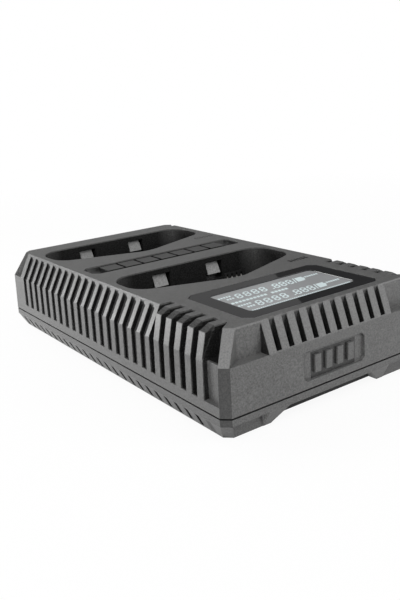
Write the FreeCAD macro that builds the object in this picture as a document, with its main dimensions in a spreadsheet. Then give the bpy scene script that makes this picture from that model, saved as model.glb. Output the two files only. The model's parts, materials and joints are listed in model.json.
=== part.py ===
import FreeCAD, Part
import math
import os
import re
import Sketcher

# Two-bay battery charger with a glossy display window. X runs along the front,
# Y from front to back, Z up. The origin lies under the middle of the body.

doc = FreeCAD.newDocument("battery_charger")
dims = doc.addObject("Spreadsheet::Sheet", "dims")

sizes = [
    # outside of the body
    ("body_wide", 84.0), ("body_long", 147.8), ("body_high", 31.3),
    ("seam_level", 7.4), ("seam_gap", 0.4), ("bend_level", 22.0), ("draft", 0.4),
    ("side_lean", 5.3), ("end_lean", 3.9), ("corner_cut", 2.3), ("top_cut", 2.4),
    ("crease_level", 5.1), ("foot_lean", 2.7), ("over", 2.0),
    # wall thicknesses inside
    ("wall_side", 4.7), ("wall_end", 2.6), ("room_top", 20.0), ("roof_room", 28.3),
    ("roof_side", 33.4), ("roof_end", 67.6), ("lip_gap", 0.15), ("lip_thick", 1.2),
    ("lip_rise", 1.8), ("base_floor", 2.0), ("base_side", 35.6), ("base_end", 66.0),
    # side ribs and slots
    ("slot_pitch", 5.48), ("slot_wide", 2.3), ("slot_first", 60.55), ("rear_slots", 18),
    ("slot_low", 10.6), ("recess_deep", 3.7), ("panel_deep", 1.9), ("slot_back", 37.0),
    ("fin_slots", 5), ("fin_gap", 2.75), ("fin_back", 37.3), ("fin_shelf_x", 35.6),
    ("fin_shelf_level", 29.0), ("fin_notch", 32.8), ("fin_edge_x", 39.9),
    ("fin_edge_level", 29.75),
    ("pocket_start", 64.4), ("pocket_in_x", 35.2), ("pocket_in_y", 66.6),
    ("post_side_x", 36.6), ("post_side_y", 67.7), ("post_low_x", 41.7),
    ("post_low_y", 71.3), ("rear_pocket", 64.9),
    # end ribs and slots
    ("end_pitch", 4.78), ("end_slots", 10), ("end_slot_wide", 2.0), ("end_back", 70.2),
    ("end_slot_low", 22.3), ("end_pocket", 25.3), ("post_end_x", 34.3), ("end_slot_back", 70.0),
    ("post_foot_x", 39.6), ("post_foot_y", 73.6),
    # grooves, feet and arches of the lower cover
    ("groove_wide", 1.3), ("groove_count", 24), ("groove_foot_x", 38.1), ("groove_top", 4.7),
    ("groove_low", 0.55),
    ("foot_in", 22.55), ("arch_in", 17.3), ("arch_mid", -1.2), ("arch_level", 4.9),
    ("arch_deep", 6.0), ("foot_panel_out", 39.6), ("foot_panel_in", 37.0),
    ("foot_panel_end", 25.3), ("foot_panel_floor", 71.05),
    # battery bays
    ("bay_half", 34.4), ("bay_deep", 32.0), ("bay_shoulder", 19.6), ("bay_round", 9.0),
    ("bay_nose_round", 13.0), ("bay_back_front", 1.2), ("bay_back_rear", 60.35),
    ("bay_floor", 13.0), ("bay_floor_thick", 1.5), ("bay_wall", 1.5),
    ("tab_offset", 12.0), ("tab_wide", 5.8), ("tab_top", 28.4), ("tab_low", 24.15),
    ("tab_lean", 2.0), ("tab_room", 7.7), ("tab_room_deep", 2.6), ("tab_room_low", 22.0),
    ("tab_room_wall", 0.9),
    # strip between the bays
    ("strip_half", 33.9), ("strip_near", 10.8), ("strip_far", 22.0), ("strip_cut", 2.2),
    ("strip_deep", 1.6), ("bar_long", 6.7), ("bar_deep", 7.0), ("bar_pitch", 7.85), ("bar_mid", 17.2),
    ("bar_count", 7), ("bar_sink", 0.35),
    # display window
    ("window_half", 27.6), ("window_near", 67.2), ("window_far", 36.0),
    ("window_cut", 2.5), ("window_deep", 1.5), ("window_fit", 0.15), ("window_ledge", 2.6),
    ("window_sink", 0.1),
    # plate recess on the front
    ("plate_half", 12.8), ("plate_low", 9.95), ("plate_high", 19.0), ("plate_cut", 1.2),
    ("plate_deep", 1.1), ("rung_wide", 2.4), ("rung_low", 11.7), ("rung_high", 17.2),
    ("rung_pitch", 4.6), ("rung_count", 4), ("rung_sink", 0.3),
    # circuit board and what stands on it
    ("board_half", 35.5), ("board_end", 69.3), ("board_low", 8.0), ("board_thick", 1.6),
    ("post_x", 30.0), ("post_y", 66.0), ("post_mid_y", 16.4), ("post_radius", 3.2),
    ("pilot_radius", 1.1), ("head_radius", 2.6), ("head_high", 1.5),
    ("screw_radius", 1.08), ("head_room", 3.0), ("screw_room", 1.6), ("head_sink", 3.4),
    ("pad_radius", 4.2), ("screw_top", 15.0), ("pilot_top", 16.0),
    ("port_half", 4.6), ("port_low", 9.5), ("port_high", 12.9),
    ("shell_half", 4.47), ("shell_long", 7.4), ("shell_high", 3.16), ("shell_wall", 0.3),
    ("tongue_half", 3.35), ("tongue_high", 0.7), ("tongue_long", 5.2),
    # display stack under the window
    ("lcd_half", 24.4), ("lcd_near", 64.0), ("lcd_far", 39.2), ("lcd_high", 2.0),
    ("tray_wall", 1.2), ("tray_low", 24.4), ("tray_sink", 0.1), ("slab_half", 30.5),
    ("slab_near", 62.4), ("slab_far", 38.0), ("slab_thick", 1.2), ("boss_x", 28.4),
    ("boss_near", 59.0), ("boss_far", 41.4), ("boss_radius", 2.0), ("boss_pilot", 0.8),
    ("boss_hole", 1.0), ("boss_screw", 0.78), ("boss_head", 1.7), ("boss_head_high", 1.1),
    ("boss_screw_up", 2.9), ("riser_half", 8.0), ("riser_near", 61.0), ("riser_far", 56.0),
    # contacts at the foot of each bay
    ("block_x", 21.8), ("block_half", 4.9), ("block_deep", 3.2), ("block_fit", 0.1),
    ("block_top", 23.2), ("blade_pitch", 2.3), ("blade_wide", 0.8), ("blade_slot", 0.9),
    ("blade_out", 1.6), ("blade_in", 1.5), ("blade_low", 14.0), ("blade_top", 22.3),
    ("blade_count", 4),
    # parts on the main board
    ("coil_x", 22.0), ("coil_y", 46.0), ("coil_half", 6.4), ("coil_high", 7.2),
    ("can_radius", 4.0), ("can_high", 11.5), ("can_x", 12.2), ("can_y", 43.0),
    ("chip_half", 4.5), ("chip_y", 48.5), ("chip_high", 1.3), ("switch_half_x", 2.6),
    ("switch_half_y", 3.0), ("switch_high", 1.1), ("switch_x", 26.0), ("switch_y", 27.0),
    ("plug_half", 6.0), ("plug_low_y", 62.6), ("plug_high_y", 65.6),
]

for row, (alias, number) in enumerate(sizes, start=1):
    dims.set("A%d" % row, alias)
    dims.set("B%d" % row, str(number))
    dims.setAlias("B%d" % row, alias)
doc.recompute()

known = dict(sizes)


def value(text):
    """Number of a sum such as 'body_wide/2 - corner_cut'."""
    total = 0.0
    for sign, first, mark, second in re.findall(
            r"([+-]?)\s*([\w.]+)(?:\s*([*/])\s*([\w.]+))?", str(text)):
        number = known[first] if first in known else float(first)
        if mark:
            other = known[second] if second in known else float(second)
            number = number * other if mark == "*" else number / other
        total += -number if sign == "-" else number
    return total


def bound(text):
    """The same sum with each name pointing at its cell."""
    return re.sub(r"([A-Za-z_]\w*)", r"dims.\1", str(text))


def bind(thing, prop, text):
    thing.setExpression(prop, bound(text))


def body(label):
    made = doc.addObject("PartDesign::Body", label)
    made.Label = label
    return made


def origin_part(owner, role):
    return next(f for f in owner.Origin.OriginFeatures if f.Role == role)


def sketch(owner, role, name, offset="0"):
    made = owner.newObject("Sketcher::SketchObject", name)
    made.AttachmentSupport = [(origin_part(owner, role), "")]
    made.MapMode = "FlatFace"
    made.AttachmentOffset = FreeCAD.Placement(
        FreeCAD.Vector(0, 0, value(offset)), FreeCAD.Rotation())
    if offset != "0":
        bind(made, "AttachmentOffset.Base.z", offset)
    return made


def outline(made, points):
    """Closed run of straight edges, each corner tied to the sheet."""
    start = made.GeometryCount
    count = len(points)
    spots = [FreeCAD.Vector(value(x), value(y), 0) for x, y in points]
    for i in range(count):
        made.addGeometry(Part.LineSegment(spots[i], spots[(i + 1) % count]), False)
    for i in range(count):
        made.addConstraint(Sketcher.Constraint(
            "Coincident", start + i, 2, start + (i + 1) % count, 1))
    for i, (x, y) in enumerate(points):
        for kind, text, number in (("DistanceX", x, spots[i].x), ("DistanceY", y, spots[i].y)):
            index = made.addConstraint(Sketcher.Constraint(kind, start + i, 1, number))
            made.setExpression("Constraints[%d]" % index, bound(text))


def ring(made, x, y, radius):
    """Circle with its centre and radius tied to the sheet."""
    geo = made.addGeometry(Part.Circle(
        FreeCAD.Vector(value(x), value(y), 0), FreeCAD.Vector(0, 0, 1), value(radius)), False)
    for kind, text in (("DistanceX", x), ("DistanceY", y)):
        index = made.addConstraint(Sketcher.Constraint(kind, geo, 3, value(text)))
        made.setExpression("Constraints[%d]" % index, bound(text))
    index = made.addConstraint(Sketcher.Constraint("Radius", geo, value(radius)))
    made.setExpression("Constraints[%d]" % index, bound(radius))


def grow(owner, kind, name, profile, length, both=False, back=False):
    """Pad or pocket of a sketch by a length from the sheet."""
    made = owner.newObject("PartDesign::" + kind, name)
    made.Profile = profile
    made.Length = value(length)
    bind(made, "Length", length)
    if both:
        made.SideType = "Symmetric"
    made.Reversed = back
    return made


def repeat(owner, source, axis, name, pitch, count):
    """Straight row of copies of one feature."""
    made = owner.newObject("PartDesign::LinearPattern", name)
    made.Originals = [source]
    made.Direction = (origin_part(owner, axis), [""])
    made.Mode = "Spacing"
    made.Offset = value(pitch)
    bind(made, "Offset", pitch)
    made.Occurrences = int(value(count))
    bind(made, "Occurrences", count)
    owner.Tip = made
    return made


def octagon(half_x, half_y, cut):
    """Corners of a centred rectangle with its corners cut."""
    inner_x = "%s - %s" % (half_x, cut)
    inner_y = "%s - %s" % (half_y, cut)
    minus = {t: "-" + t.replace(" - ", " # ").replace(" + ", " - ").replace(" # ", " + ")
             for t in (half_x, half_y, inner_x, inner_y)}
    return [(minus[half_x], minus[inner_y]), (minus[inner_x], minus[half_y]),
            (inner_x, minus[half_y]), (half_x, minus[inner_y]),
            (half_x, inner_y), (inner_x, half_y),
            (minus[inner_x], half_y), (minus[half_x], inner_y)]


def flip(points, turn_x, turn_y):
    """Mirror image of a run of corners."""
    def turned(text):
        swapped = re.sub(r"[+-]", lambda m: "+" if m.group() == "-" else "-", text)
        return swapped.lstrip("+") if text.startswith("-") else "-" + swapped
    return [(turned(x) if turn_x else x, turned(y) if turn_y else y) for x, y in points]


def upright_edges(shape, spots, near=0.05):
    """Names of the vertical edges that stand over the given points."""
    found = []
    for number, edge in enumerate(shape.Edges, start=1):
        ends = [v.Point for v in edge.Vertexes]
        if len(ends) != 2 or abs(ends[0].z - ends[1].z) < 3.0:
            continue
        if math.hypot(ends[0].x - ends[1].x, ends[0].y - ends[1].y) > 0.01:
            continue
        if any(math.hypot(ends[0].x - x, ends[0].y - y) < near for x, y in spots):
            found.append("Edge%d" % number)
    return found


def box_outline(x_low, x_high, y_low, y_high):
    return [(x_low, y_low), (x_high, y_low), (x_high, y_high), (x_low, y_high)]


def slab(label, x_low, x_high, y_low, y_high, z_low, z_length):
    """Plain moulded or pressed block as a body of its own."""
    made = body(label)
    plan = sketch(made, "XY_Plane", label + "_plan", z_low)
    outline(plan, box_outline(x_low, x_high, y_low, y_high))
    grow(made, "Pad", label + "_pad", plan, z_length)
    return made


def loft(owner, name, sections):
    made = owner.newObject("PartDesign::AdditiveLoft", name)
    made.Profile = sections[0]
    made.Sections = sections[1:]
    made.Ruled = True
    return made


# upper cover: vertical walls, then all four sides lean in to the flat top
top = body("top_cover")
rim = sketch(top, "XY_Plane", "rim_outline", "seam_level + seam_gap/2")
outline(rim, octagon("body_wide/2", "body_long/2", "corner_cut"))
bend = sketch(top, "XY_Plane", "bend_outline", "bend_level")
outline(bend, octagon("body_wide/2 - draft", "body_long/2 - draft", "corner_cut"))
crest = sketch(top, "XY_Plane", "crest_outline", "body_high")
outline(crest, octagon("body_wide/2 - side_lean", "body_long/2 - end_lean", "top_cut"))
loft(top, "outer_form", [rim, bend, crest])

# hollow inside, narrower behind the slots
room = sketch(top, "XY_Plane", "room_outline", "seam_level + seam_gap/2")
outline(room, box_outline("-body_wide/2 + wall_side", "body_wide/2 - wall_side",
                          "-body_long/2 + wall_end", "body_long/2 - wall_end"))
grow(top, "Pocket", "room", room, "room_top - seam_level - seam_gap/2", back=True)
loft_room = sketch(top, "XY_Plane", "roof_room_outline", "seam_level + seam_gap/2")
outline(loft_room, box_outline("-roof_side", "roof_side", "-roof_end", "roof_end"))
grow(top, "Pocket", "roof_space", loft_room, "roof_room - seam_level - seam_gap/2", back=True)

# bay wells hang from the roof, then the bays are cut down into them
wells = sketch(top, "XY_Plane", "well_outline", "bay_floor - bay_floor_thick")
shoulder = "bay_half + bay_wall"
for back in ("bay_back_front", "bay_back_rear"):
    outline(wells, [("-bay_half - bay_wall", back + " + bay_wall"),
                    (shoulder, back + " + bay_wall"),
                    (shoulder, back + " - bay_shoulder - bay_wall"),
                    ("0", back + " - bay_deep - bay_wall"),
                    ("-bay_half - bay_wall", back + " - bay_shoulder - bay_wall")])
grow(top, "Pad", "bay_wells", wells, "roof_room - bay_floor + bay_floor_thick + 0.5")
bays = sketch(top, "XY_Plane", "bay_outline", "body_high")
corners = {"side": [], "nose": []}
for back in ("bay_back_front", "bay_back_rear"):
    outline(bays, [("-bay_half", back), ("bay_half", back),
                   ("bay_half", back + " - bay_shoulder"), ("0", back + " - bay_deep"),
                   ("-bay_half", back + " - bay_shoulder")])
    for turn in (-1, 1):
        corners["side"].append((turn * value("bay_half"), value(back)))
        corners["side"].append((turn * value("bay_half"), value(back + " - bay_shoulder")))
    corners["nose"].append((0.0, value(back + " - bay_deep")))
cut = grow(top, "Pocket", "bays", bays, "body_high - bay_floor")
doc.recompute()
round_ends = top.newObject("PartDesign::Fillet", "bay_end_rounds")
round_ends.Base = (cut, upright_edges(cut.Shape, corners["side"]))
bind(round_ends, "Radius", "bay_round")
doc.recompute()
round_nose = top.newObject("PartDesign::Fillet", "bay_nose_rounds")
round_nose.Base = (round_ends, upright_edges(round_ends.Shape, corners["nose"]))
bind(round_nose, "Radius", "bay_nose_round")

# windows in the bay wall behind the sloped tabs, and for the contact blocks
tab_backs = sketch(top, "XY_Plane", "tab_back_outline", "tab_room_low - 1.4")
for back in ("bay_back_front", "bay_back_rear"):
    for side in ("-tab_offset", "tab_offset"):
        outline(tab_backs, box_outline(side + " - tab_room/2 - tab_room_wall",
                                       side + " + tab_room/2 + tab_room_wall",
                                       back + " + 0.3", back + " + tab_room_deep + 1.4"))
grow(top, "Pad", "tab_backs", tab_backs, "roof_room - tab_room_low + 1.8")
tab_room = sketch(top, "XY_Plane", "tab_room_outline", "tab_room_low")
for back in ("bay_back_front", "bay_back_rear"):
    for side in ("-tab_offset", "tab_offset"):
        outline(tab_room, box_outline(side + " - tab_room/2", side + " + tab_room/2",
                                      back + " - 0.1", back + " + tab_room_deep"))
grow(top, "Pocket", "tab_rooms", tab_room, "tab_top + 0.6 - tab_room_low", back=True)
tabs = sketch(top, "YZ_Plane", "tab_profile", "-tab_offset")
for back in ("bay_back_front", "bay_back_rear"):
    outline(tabs, [(back + " + tab_room_deep + 0.2", "tab_low - 0.6"), (back, "tab_low"),
                   (back + " + tab_lean", "tab_top"),
                   (back + " + tab_room_deep + 0.2", "tab_top")])
tab = grow(top, "Pad", "tabs", tabs, "tab_wide", both=True)
repeat(top, tab, "X_Axis", "tab_row", "2*tab_offset", "2")
block_room = sketch(top, "XY_Plane", "block_room_outline", "bay_floor - bay_floor_thick")
for back in ("bay_back_front", "bay_back_rear"):
    outline(block_room, box_outline("block_x - block_half - block_fit", "block_x + block_half + block_fit",
                                    back + " - block_fit", back + " + bay_wall + 0.2"))
grow(top, "Pocket", "block_rooms", block_room,
     "block_top + block_fit - bay_floor + bay_floor_thick", back=True)

# five raised fins at the front end of each side
fin = sketch(top, "XZ_Plane", "fin_profile", "-slot_first + 18.5*slot_pitch")
fin_shape = [("fin_notch + 1", "body_high - 1.5"), ("fin_back - 1", "bend_level - 1"),
             ("body_wide/2 - draft - 1", "bend_level - 1"), ("body_wide/2 - draft", "bend_level"),
             ("fin_edge_x", "fin_edge_level"), ("body_wide/2 - side_lean", "body_high"),
             ("fin_notch + 1", "body_high")]
outline(fin, fin_shape)
outline(fin, flip(fin_shape, True, False))
fin_pad = grow(top, "Pad", "fins", fin, "slot_pitch - fin_gap", both=True)
fin_row = repeat(top, fin_pad, "Y_Axis", "fin_row", "slot_pitch", "fin_slots")
fin_row.Reversed = True

# side slots: a recess in the wall and a wedge in the lean above it
slot = sketch(top, "XZ_Plane", "slot_profile", "-slot_first")
slot_shape = [("body_wide/2 + over", "slot_low"), ("body_wide/2 - recess_deep", "slot_low"),
              ("body_wide/2 - recess_deep", "bend_level"), ("slot_back", "bend_level"),
              ("slot_back", "body_high + over"), ("body_wide/2 + over", "body_high + over")]
outline(slot, slot_shape)
outline(slot, flip(slot_shape, True, False))
slot_cut = grow(top, "Pocket", "side_slot", slot, "slot_wide", both=True)
slot_row = repeat(top, slot_cut, "Y_Axis", "side_slots", "slot_pitch", "rear_slots")
slot_row.Reversed = True

# slots between the fins run on into the top face
notch = sketch(top, "XZ_Plane", "fin_slot_profile", "-slot_first + 18*slot_pitch")
notch_shape = [("body_wide/2 + over", "slot_low"), ("body_wide/2 - recess_deep", "slot_low"),
               ("body_wide/2 - recess_deep", "bend_level"), ("fin_back", "bend_level"),
               ("fin_shelf_x", "fin_shelf_level"), ("fin_notch", "fin_shelf_level"),
               ("fin_notch", "body_high + over"), ("body_wide/2 + over", "body_high + over")]
outline(notch, notch_shape)
outline(notch, flip(notch_shape, True, False))
notch_cut = grow(top, "Pocket", "fin_slot", notch, "fin_gap", both=True)
notch_row = repeat(top, notch_cut, "Y_Axis", "fin_slot_row", "slot_pitch", "fin_slots")
notch_row.Reversed = True

# pockets beside the four corner posts
side_pocket = [("body_wide/2 + over", "pocket_start"), ("pocket_in_x", "pocket_start"),
               ("pocket_in_x", "pocket_in_y"), ("post_side_x", "post_side_y"),
               ("post_low_x", "post_low_y"), ("body_wide/2 + over", "post_low_y")]
rear_side_pocket = [(x, "rear_pocket" if y == "pocket_start" else y) for x, y in side_pocket]
end_pocket = [("end_pocket", "body_long/2 + over"), ("end_pocket", "end_back"),
              ("post_end_x", "end_back"), ("post_foot_x", "post_foot_y"),
              ("post_foot_x", "body_long/2 + over")]
pockets = sketch(top, "XY_Plane", "corner_pocket_outline", "bend_level")
for turn_x in (False, True):
    outline(pockets, flip(side_pocket, turn_x, True))
    outline(pockets, flip(rear_side_pocket, turn_x, False))
    for turn_y in (False, True):
        outline(pockets, flip(end_pocket, turn_x, turn_y))
grow(top, "Pocket", "corner_pockets", pockets, "body_high - bend_level + over", back=True)
corner_notch = [("fin_notch", "-pocket_start"), ("fin_notch", "-pocket_start - 0.6"),
                ("post_side_x", "-post_side_y"), ("post_side_x", "-pocket_start")]
notches = sketch(top, "XY_Plane", "corner_notch_outline", "fin_shelf_level")
outline(notches, corner_notch)
outline(notches, flip(corner_notch, True, False))
grow(top, "Pocket", "corner_notches", notches, "body_high - fin_shelf_level + over", back=True)
panel = sketch(top, "XY_Plane", "corner_panel_outline", "slot_low")
panel_shape = box_outline("body_wide/2 - panel_deep", "body_wide/2 + over",
                          "-post_low_y", "-pocket_start")
outline(panel, panel_shape)
outline(panel, flip(panel_shape, True, False))
grow(top, "Pocket", "corner_panels", panel, "bend_level - slot_low + 0.01", back=True)

# slots across both ends
end_slot = sketch(top, "YZ_Plane", "end_slot_profile", "-4.5*end_pitch")
end_shape = box_outline("end_slot_back", "body_long/2 + over", "end_slot_low", "body_high + over")
outline(end_slot, end_shape)
outline(end_slot, flip(end_shape, True, False))
end_cut = grow(top, "Pocket", "end_slot", end_slot, "end_slot_wide", both=True)
repeat(top, end_cut, "X_Axis", "end_slot_row", "end_pitch", "end_slots")

# shallow strip with plain raised bars between the bays
strip = sketch(top, "XY_Plane", "strip_outline", "body_high")
outline(strip, [("-strip_half", "strip_near + strip_cut"), ("-strip_half + strip_cut", "strip_near"),
                ("strip_half - strip_cut", "strip_near"), ("strip_half", "strip_near + strip_cut"),
                ("strip_half", "strip_far - strip_cut"), ("strip_half - strip_cut", "strip_far"),
                ("-strip_half + strip_cut", "strip_far"), ("-strip_half", "strip_far - strip_cut")])
grow(top, "Pocket", "strip_recess", strip, "strip_deep")
bar = sketch(top, "XY_Plane", "bar_outline", "body_high - strip_deep - 0.2")
outline(bar, box_outline("-3*bar_pitch - bar_long/2", "-3*bar_pitch + bar_long/2",
                         "bar_mid - bar_deep/2", "bar_mid + bar_deep/2"))
bar_pad = grow(top, "Pad", "bar", bar, "strip_deep + 0.2 - bar_sink")
repeat(top, bar_pad, "X_Axis", "bar_row", "bar_pitch", "bar_count")

# seat of the display window, with a ledge all round the opening
window = sketch(top, "XY_Plane", "window_outline", "body_high")
outline(window, [("-window_half", "-window_near + window_cut"),
                 ("-window_half + window_cut", "-window_near"),
                 ("window_half - window_cut", "-window_near"),
                 ("window_half", "-window_near + window_cut"),
                 ("window_half", "-window_far - window_cut"),
                 ("window_half - window_cut", "-window_far"),
                 ("-window_half + window_cut", "-window_far"),
                 ("-window_half", "-window_far - window_cut")])
grow(top, "Pocket", "window_seat", window, "window_deep")
opening = sketch(top, "XY_Plane", "opening_outline", "body_high")
outline(opening, box_outline("-window_half + window_ledge", "window_half - window_ledge",
                             "-window_near + window_ledge", "-window_far - window_ledge"))
grow(top, "Pocket", "display_opening", opening, "body_high - roof_room + 0.5")

# recessed plate with plain upright bars on the front
plate = sketch(top, "XZ_Plane", "plate_outline", "body_long/2 + over")
outline(plate, [("-plate_half", "plate_low + plate_cut"), ("-plate_half + plate_cut", "plate_low"),
                ("plate_half - plate_cut", "plate_low"), ("plate_half", "plate_low + plate_cut"),
                ("plate_half", "plate_high - plate_cut"), ("plate_half - plate_cut", "plate_high"),
                ("-plate_half + plate_cut", "plate_high"), ("-plate_half", "plate_high - plate_cut")])
grow(top, "Pocket", "plate_recess", plate, "over + plate_deep")
rung = sketch(top, "XZ_Plane", "rung_outline", "body_long/2 - plate_deep - 0.2")
outline(rung, box_outline("-1.5*rung_pitch - rung_wide/2", "-1.5*rung_pitch + rung_wide/2",
                          "rung_low", "rung_high"))
rung_pad = grow(top, "Pad", "rung", rung, "plate_deep + 0.2 - rung_sink")
repeat(top, rung_pad, "X_Axis", "rung_row", "rung_pitch", "rung_count")

# columns that hold the main board down, each with a blind pilot hole
post_spots = [(x, y) for x in ("-post_x", "post_x") for y in ("-post_y", "post_mid_y", "post_y")]
boss_spots = [(x, y) for x in ("-boss_x", "boss_x") for y in ("-boss_near", "-boss_far")]
columns = sketch(top, "XY_Plane", "column_outline", "board_low + board_thick")
pilots = sketch(top, "XY_Plane", "pilot_outline", "board_low + board_thick")
for x, y in post_spots:
    ring(columns, x, y, "post_radius")
    ring(pilots, x, y, "pilot_radius")
grow(top, "Pad", "columns", columns, "roof_room - board_low - board_thick + 0.3")
grow(top, "Pocket", "pilots", pilots, "pilot_top - board_low - board_thick", back=True)
bosses = sketch(top, "XY_Plane", "boss_outline", "tray_low")
boss_holes = sketch(top, "XY_Plane", "boss_hole_outline", "tray_low")
for x, y in boss_spots:
    ring(bosses, x, y, "boss_radius")
    ring(boss_holes, x, y, "boss_pilot")
grow(top, "Pad", "bosses", bosses, "roof_room - tray_low + 0.3")
grow(top, "Pocket", "boss_holes", boss_holes, "boss_screw_up + 0.3", back=True)

# mouth of the power inlet in the back wall
mouth = sketch(top, "XZ_Plane", "mouth_outline", "-body_long/2 - over")
outline(mouth, box_outline("-port_half", "port_half", "port_low", "port_high"))
grow(top, "Pocket", "inlet_mouth", mouth, "over + wall_end + 1", back=True)

# lower cover: short band, then sides that lean in to the feet
base = body("bottom_cover")
sole = sketch(base, "XY_Plane", "sole_outline")
outline(sole, octagon("body_wide/2 - foot_lean", "body_long/2 - foot_lean", "corner_cut"))
crease = sketch(base, "XY_Plane", "crease_outline", "crease_level")
outline(crease, octagon("body_wide/2", "body_long/2", "corner_cut"))
lip_line = sketch(base, "XY_Plane", "band_outline", "seam_level - seam_gap/2")
outline(lip_line, octagon("body_wide/2", "body_long/2", "corner_cut"))
loft(base, "base_form", [sole, crease, lip_line])
shelf = sketch(base, "XY_Plane", "shelf_outline", "seam_level - seam_gap/2")
outline(shelf, box_outline("-body_wide/2 + wall_side + lip_gap", "body_wide/2 - wall_side - lip_gap",
                           "-body_long/2 + wall_end + lip_gap", "body_long/2 - wall_end - lip_gap"))
grow(base, "Pocket", "shelf", shelf, "seam_level - seam_gap/2 - arch_level - 1.6")
well = sketch(base, "XY_Plane", "well_plan", "seam_level")
outline(well, box_outline("-base_side", "base_side", "-base_end", "base_end"))
grow(base, "Pocket", "base_well", well, "seam_level - base_floor")
lip = sketch(base, "XY_Plane", "lip_outline", "arch_level + 1.6 - 0.1")
outline(lip, box_outline("-body_wide/2 + wall_side + lip_gap", "body_wide/2 - wall_side - lip_gap",
                         "-body_long/2 + wall_end + lip_gap", "body_long/2 - wall_end - lip_gap"))
outline(lip, box_outline("-body_wide/2 + wall_side + lip_gap + lip_thick",
                         "body_wide/2 - wall_side - lip_gap - lip_thick",
                         "-body_long/2 + wall_end + lip_gap + lip_thick",
                         "body_long/2 - wall_end - lip_gap - lip_thick"))
grow(base, "Pad", "lip", lip, "seam_level + lip_rise - arch_level - 1.6 + 0.1")
pads = sketch(base, "XY_Plane", "pad_outline", "base_floor - 0.5")
heads = sketch(base, "XY_Plane", "head_outline")
holes = sketch(base, "XY_Plane", "hole_outline")
for x, y in post_spots:
    ring(pads, x, y, "pad_radius")
    ring(heads, x, y, "head_room")
    ring(holes, x, y, "screw_room")
grow(base, "Pad", "board_pads", pads, "board_low - base_floor + 0.5")
grow(base, "Pocket", "head_rooms", heads, "head_sink", back=True)
grow(base, "Pocket", "screw_holes", holes, "board_low + 1", back=True)

# slanting grooves up both flanks, one below each slot and one more at the back
groove = sketch(base, "XZ_Plane", "groove_profile", "-slot_first - slot_pitch")
groove_shape = [("body_wide/2 + over", "groove_top"), ("body_wide/2 - 0.2", "groove_top"),
                ("groove_foot_x", "groove_low"), ("body_wide/2 + over", "groove_low")]
outline(groove, groove_shape)
outline(groove, flip(groove_shape, True, False))
groove_cut = grow(base, "Pocket", "groove", groove, "groove_wide", both=True)
groove_row = repeat(base, groove_cut, "Y_Axis", "groove_row", "slot_pitch", "groove_count")
groove_row.Reversed = True

# an arch under each end leaves the four feet
arch_shape = [("arch_mid - foot_in", "-over"), ("arch_mid + foot_in", "-over"),
              ("arch_mid + foot_in", "0"), ("arch_mid + arch_in", "arch_level"),
              ("arch_mid - arch_in", "arch_level"), ("arch_mid - foot_in", "0")]
for name, where, turned in (("front_arch", "body_long/2 + over", False),
                            ("rear_arch", "-body_long/2 - over", True)):
    arch = sketch(base, "XZ_Plane", name + "_outline", where)
    outline(arch, arch_shape)
    grow(base, "Pocket", name, arch, "over + arch_deep", back=turned)

# upright panels set into the leaning face of each foot
foot_panels = sketch(base, "XY_Plane", "foot_panel_outline", "-over")
for end in (False, True):
    for out, inner, stop in (("-foot_panel_out", "-foot_panel_in", "arch_mid - foot_panel_end"),
                             ("foot_panel_out", "foot_panel_in", "arch_mid + foot_panel_end")):
        shift = " - over" if out.startswith("-") else " + over"
        outline(foot_panels, flip([(out + shift, "body_long/2 + over"), (inner, "foot_panel_floor"),
                                   (stop, "foot_panel_floor"), (stop, "body_long/2 + over")],
                                  False, end))
grow(base, "Pocket", "foot_panels", foot_panels, "crease_level + over", back=True)

# smoked window plate over the display
lens = body("display_window")
lens_plan = sketch(lens, "XY_Plane", "lens_outline", "body_high - window_deep")
lens_x = "window_half - window_fit"
lens_in = "window_half - window_fit - window_cut"
lens_near = "-window_near + window_fit"
lens_far = "-window_far - window_fit"
outline(lens_plan, [("-window_half + window_fit", lens_near + " + window_cut"),
                    ("-window_half + window_fit + window_cut", lens_near),
                    (lens_in, lens_near), (lens_x, lens_near + " + window_cut"),
                    (lens_x, lens_far + " - window_cut"), (lens_in, lens_far),
                    ("-window_half + window_fit + window_cut", lens_far),
                    ("-window_half + window_fit", lens_far + " - window_cut")])
grow(lens, "Pad", "lens_pad", lens_plan, "window_deep - window_sink")

slab("lcd_glass", "-lcd_half", "lcd_half", "-lcd_near", "-lcd_far",
     "body_high - window_deep - lcd_high", "lcd_high")

# white tray that lights the display from below
tray = slab("backlight_tray", "-lcd_half - tray_wall", "lcd_half + tray_wall",
            "-lcd_near - tray_wall", "-lcd_far + tray_wall", "tray_low",
            "roof_room - tray_sink - tray_low")
tray_seat = sketch(tray, "XY_Plane", "tray_seat_outline", "roof_room")
outline(tray_seat, box_outline("-lcd_half - 0.1", "lcd_half + 0.1", "-lcd_near - 0.1", "-lcd_far + 0.1"))
grow(tray, "Pocket", "tray_seat", tray_seat,
     "roof_room - body_high + window_deep + lcd_high")

# small board under the display, hung from the roof bosses
display_board = slab("display_board", "-slab_half", "slab_half", "-slab_near", "-slab_far",
                     "tray_low - slab_thick", "slab_thick")
slab_holes = sketch(display_board, "XY_Plane", "slab_hole_outline", "tray_low")
for x, y in boss_spots:
    ring(slab_holes, x, y, "boss_hole")
grow(display_board, "Pocket", "slab_holes", slab_holes, "slab_thick")

# main board on the pads of the lower cover
board = slab("circuit_board", "-board_half", "board_half", "-board_end", "board_end",
             "board_low", "board_thick")
board_holes = sketch(board, "XY_Plane", "board_hole_outline", "board_low + board_thick")
for x, y in post_spots:
    ring(board_holes, x, y, "screw_room")
grow(board, "Pocket", "board_holes", board_holes, "board_thick")


def cylinder(name, x, y, z, radius, high):
    made = doc.addObject("Part::Cylinder", name)
    made.Placement = FreeCAD.Placement(
        FreeCAD.Vector(value(x), value(y), value(z)), FreeCAD.Rotation())
    for prop, text in (("Placement.Base.x", x), ("Placement.Base.y", y),
                       ("Placement.Base.z", z), ("Radius", radius), ("Height", high)):
        bind(made, prop, text)
    return made


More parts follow.
